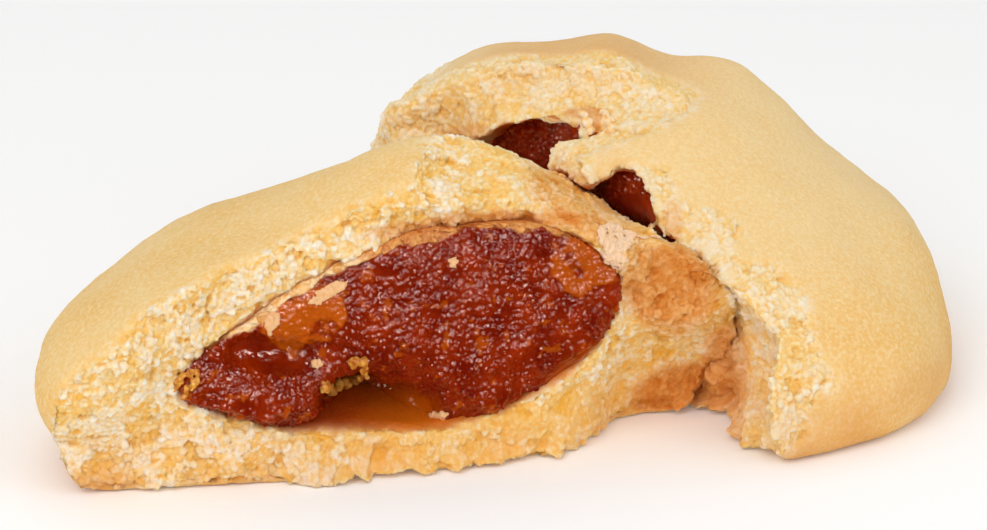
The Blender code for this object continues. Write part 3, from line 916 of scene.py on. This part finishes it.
def make_jam(node, half, material):
    inwards = inwards_of(half)
    mesh = jam_shape(node, half, inwards)
    for _ in range(2):
        refine(mesh, normals_of(mesh) @ inwards < -0.15)
    smooth = Smoother(mesh)
    places = smooth(coordinates(mesh), 20)
    set_coordinates(mesh, places)
    out = outwards_of(mesh, smooth, 6)
    local = to_local(half, places)
    pixels = pixels_of(places)
    if half is FRONT:
        pixels, hollow, recess, under = jam_places(local, pixels)
        ragged = 0.9 * uneven(local, 1.5, 65.0) + 0.4 * uneven(local, 0.6, 66.0)
        left, right = (spot(pixels, *ellipse) for ellipse in AMBER_LUMPS)
        lumps = np.maximum(ramp(left + ragged, 0.35, 0.85) * ramp(left, 0.0, 0.3),
                           0.8 * ramp(right + ragged, 0.35, 0.85) * ramp(right, 0.0, 0.3))
        amber = np.maximum.reduce([hollow * ramp(pixels[:, 0], *AMBER_SYRUP), 0.75 * lumps, 0.3 * under])
        skin = ramp(np.interp(pixels[:, 0], *zip(*JAM_TOP)) - pixels[:, 1], -1.0, 3.0)
        cream = 1.0 - ramp(pixels[:, 0], *CREAM_SKIN)
        still = np.maximum.reduce([hollow, 0.9 * recess, under, skin, 0.3 * lumps])
        granules, pale = crumb(local, half.seed)
        raised = 0.2 * lumps + skin * (0.3 + granules * (0.8 + 0.2 * cream))
        places = places - inwards * raised[:, None]
    else:
        skin = amber = cream = pale = 0.0 * places[:, 0]
        still = ramp(local[:, 0], 7.0, 8.5) * ramp(pixels[:, 1], *SMOOTH_BEHIND)
    specks = 0.45 * ramp(uneven(local, 1.1, half.seed + 70.0) + 0.5 * uneven(local, 0.4, half.seed + 71.0),
                         0.38, 0.62) * (1.0 - still)
    relief, bead = jam_relief(local, half.seed)
    set_coordinates(mesh, places + out * ((1.0 - still) * relief)[:, None])
    # The bead tops' share, which the material paints lighter as a highlight
    write_values(mesh, "bead", bead * (1.0 - still))
    write_values(mesh, "amber", np.maximum(amber, specks))
    write_values(mesh, "skin", skin)
    write_values(mesh, "cream", cream)
    write_values(mesh, "pale", pale)
    return add_piece(f"{node}_body", mesh, material, "jam", node)


# ---------------------------------------------------------------- small pieces

def ball_shape():
    """An even ball's corners and triangles."""
    mesh_source = bmesh.new()
    bmesh.ops.create_icosphere(mesh_source, subdivisions=2, radius=1.0)
    corners = np.array([vertex.co[:] for vertex in mesh_source.verts])
    triangles = np.array([[vertex.index for vertex in face.verts] for face in mesh_source.faces])
    mesh_source.free()
    return corners, triangles


def surface_of(piece):
    """A finished piece's surface, in millimetres."""
    points = (coordinates(piece.data) / MM).tolist()
    return BVHTree.FromPolygons(points, [tuple(face.vertices) for face in piece.data.polygons])


def inside(outline, pixel):
    """Whether a pixel lies in an outline on the photograph."""
    x, y = pixel
    crossings = 0
    for (x0, y0), (x1, y1) in zip(outline, outline[1:] + outline[:1]):
        crossings += (y0 > y) != (y1 > y) and x < x0 + (x1 - x0) * (y - y0) / (y1 - y0)
    return crossings % 2 == 1


def patch_of_balls(surface, outline, radius, lift, seed):
    """Balls over what an outline on the photograph shows of a surface."""
    random = np.random.default_rng(seed)
    spacing = radius * 0.9 / MM_PER_PIXEL
    columns, rows = np.array(outline, dtype=float).T
    balls = []
    for row in np.arange(rows.min(), rows.max(), spacing):
        for column in np.arange(columns.min(), columns.max(), spacing):
            pixel = (column + spacing * (random.random() - 0.5), row + spacing * (random.random() - 0.5))
            seen = seen_at(surface, pixel) if inside(outline, pixel) else None
            if seen:
                high = lift * (0.5 + random.random())
                balls.append((*(seen[0] + seen[1] * high), radius * (0.65 + 0.6 * random.random())))
    return balls


def string_of_balls(surface, path, radius, lift):
    """Balls of uneven sizes along a path on the photograph, over a surface."""
    random = np.random.default_rng(len(path))
    balls = []
    for (x0, y0), (x1, y1) in zip(path, path[1:]):
        steps = int(np.hypot(x1 - x0, y1 - y0) * MM_PER_PIXEL / (0.4 * radius)) + 1
        for step in range(steps):
            share = step / steps
            seen = seen_at(surface, (x0 + (x1 - x0) * share, y0 + (y1 - y0) * share))
            if seen:
                size = radius * (0.65 + 0.7 * random.random())
                aside = 0.5 * radius * random.normal(size=3)
                balls.append((*(seen[0] + seen[1] * lift + aside), size))
    return balls


def drop_specks(mesh, least):
    """Takes away the parts of a mesh that have fewer vertices."""
    mesh_source = bmesh.new()
    mesh_source.from_mesh(mesh)
    seen, specks = set(), []
    for vertex in mesh_source.verts:
        if vertex in seen:
            continue
        part, ahead = [vertex], [vertex]
        seen.add(vertex)
        while ahead:
            for edge in ahead.pop().link_edges:
                for neighbour in edge.verts:
                    if neighbour not in seen:
                        seen.add(neighbour)
                        part.append(neighbour)
                        ahead.append(neighbour)
        if len(part) < least:
            specks += part
    bmesh.ops.delete(mesh_source, geom=specks, context="VERTS")
    mesh_source.to_mesh(mesh)
    mesh_source.free()
    mesh.update()


def add_balls(name, balls, voxel, material, slot, values):
    """One closed piece around overlapping balls, uneven on its surface."""
    corners, triangles = ball_shape()
    balls = np.array(balls)
    all_points = (balls[:, None, :3] + corners[None] * balls[:, None, 3:]).reshape(-1, 3)
    first_corners = np.arange(len(balls))[:, None, None] * len(corners)
    all_triangles = (triangles[None] + first_corners).reshape(-1, 3)
    mesh = remeshed(name, all_points, all_triangles, voxel)
    drop_specks(mesh, SPECK_VERTICES)
    points = Smoother(mesh)(coordinates(mesh), 2)
    set_coordinates(mesh, points)
    rough = 0.9 * voxel * uneven(points, 4.0 * voxel, 3.0) + 1.3 * voxel * uneven(points, 9.0 * voxel, 5.0)
    set_coordinates(mesh, points + normals_of(mesh) * rough[:, None])
    for value_name, value in values.items():
        varied = value * (1.0 + 0.5 * uneven(points, 0.35, 8.0))
        write_values(mesh, value_name, np.clip(varied, 0.0, 1.0))
    return add_piece(name, mesh, material, slot)


def torn_dough(pale, stain_and_shade):
    """The values of a scrap of torn dough that its material reads."""
    return {"torn": 1.0, "pale": pale, "stain_and_shade": stain_and_shade, "soaked": 0.0, "brown": 0.0}


def make_small_pieces(front_skin, back_skin, front_jam, dough, syrup):
    """What lies on the torn faces: crumbs, films of dough and curls of dried syrup."""
    on_jam, on_front, on_back = map(surface_of, (front_jam, front_skin, back_skin))

    curls = string_of_balls(on_jam, CURL_LEFT, 0.20, 0.30)
    curls += string_of_balls(on_jam, CURL_RIGHT, 0.27, 0.40)
    curls += string_of_balls(on_jam, CURL_RIGHT[:4], 0.34, 0.15)
    add_balls("syrup_curls", curls, SCRAP_VOXEL, syrup, "jam", {})

    film = []
    for seed, (outline, radius) in enumerate(FILMS_ON_JAM):
        film += patch_of_balls(on_jam, outline, radius, 0.12, seed)
    add_balls("films_on_jam", film, SCRAP_VOXEL, dough, "dough", torn_dough(0.7, 0.6))

    clumps = []
    for path, radius in CLUMPS_ON_BACK:
        clumps += string_of_balls(on_back, path, radius, 0.0)
    add_balls("clumps", clumps, CLUMP_VOXEL, dough, "dough", torn_dough(0.55, 0.0))

    flake = patch_of_balls(on_front, FLAKE, 0.11, 0.12, 31)
    flake += string_of_balls(on_front, FLAKE + FLAKE[:1], 0.09, 0.16)
    flake += string_of_balls(on_front, THREAD, 0.07, 0.10)
    add_balls("flake", flake, FLAKE_VOXEL, dough, "dough", torn_dough(0.85, 0.42))


# ---------------------------------------------------------------- stage

def make_stage():
    floor_mesh = bpy.data.meshes.new("floor")
    reach = FLOOR_REACH
    corners = [(-reach, -reach, 0.0), (reach, -reach, 0.0), (reach, reach, 0.0), (-reach, reach, 0.0)]
    floor_mesh.from_pydata(corners, [], [(0, 1, 2, 3)])
    paint = bpy.data.materials.new("floor")
    paint.use_nodes = True
    shader = paint.node_tree.nodes["Principled BSDF"]
    shader.inputs["Base Color"].default_value = (0.98, 0.98, 0.98, 1.0)
    shader.inputs["Emission Color"].default_value = (1.0, 1.0, 1.0, 1.0)
    shader.inputs["Emission Strength"].default_value = 0.07
    shader.inputs["Roughness"].default_value = 0.9
    shader.inputs["Specular IOR Level"].default_value = 0.1
    floor_mesh.materials.append(paint)
    floor = bpy.data.objects.new("floor", floor_mesh)
    bpy.context.scene.collection.objects.link(floor)
    floor.visible_glossy = False


def area_light(name, azimuth, elevation, distance, size, power, mirrored=False):
    """A soft box that looks at the biscuit: it either lights it or, if mirrored, only shows in
    its gloss. Azimuth 0 is on the camera's side."""
    light = bpy.data.lights.new(name, "AREA")
    light.shape = "SQUARE"
    light.size = size * MM
    light.energy = power
    lamp = bpy.data.objects.new(name, light)
    lamp.visible_glossy = mirrored
    lamp.visible_diffuse = not mirrored
    if mirrored:
        light.color = GLINT_COLOUR
    bpy.context.scene.collection.objects.link(lamp)
    point_at(lamp, azimuth, elevation, distance, LIGHTS_TARGET)


def point_at(thing, azimuth, elevation, distance, target):
    """Puts a lamp or camera at a distance from a target, in millimetres, and aims it there."""
    around, up = np.radians(azimuth), np.radians(elevation)
    back = Vector((-np.sin(around) * np.cos(up), -np.cos(around) * np.cos(up), np.sin(up)))
    thing.location = (Vector(target) + back * distance) * MM
    thing.rotation_euler = back.to_track_quat("Z", "Y").to_euler()


def make_lights_and_camera():
    world = bpy.data.worlds.new("studio")
    world.use_nodes = True
    world.node_tree.nodes["Background"].inputs["Color"].default_value = (1.0, 1.0, 1.0, 1.0)
    world.node_tree.nodes["Background"].inputs["Strength"].default_value = 0.6
    world.cycles_visibility.glossy = False
    bpy.context.scene.world = world
    for name, box in SOFT_BOXES.items():
        area_light(name, *box)
    for place, (azimuth, elevation, power) in enumerate(GLINTS):
        area_light(f"glint_{place}", azimuth, elevation, GLINT_DISTANCE, GLINT_SIZE, power,
                   mirrored=True)

    camera = bpy.data.cameras.new("camera")
    camera.sensor_width = SENSOR
    camera.lens = CAMERA_LENS
    camera.clip_start = 0.01
    camera.clip_end = 20.0
    eye = bpy.data.objects.new("camera", camera)
    bpy.context.scene.collection.objects.link(eye)
    point_at(eye, 0.0, CAMERA_ELEVATION, CAMERA_DISTANCE, CAMERA_TARGET)
    bpy.context.scene.camera = eye
    bpy.context.scene.view_settings.view_transform = "Standard"


dough = dough_material("dough", 0.5)
jam = jam_material()
rim_gap = view_wedge("rim_gap", RIM_GAP, *RIM_GAP_DEPTHS)
front_skin = make_dough("front_dough", FRONT, front_tear, FRONT_POCKET, dough, "back_dough")
back_skin = make_dough("back_dough", BACK, back_tear, BACK_POCKET, dough, "front_dough", rim_gap)
bpy.data.objects.remove(rim_gap)
front_jam = make_jam("front_jam", FRONT, jam)
make_jam("back_jam", BACK, jam)
make_small_pieces(front_skin, back_skin, front_jam, dough_material("scraps", 0.0), syrup_material())
make_stage()
make_lights_and_camera()
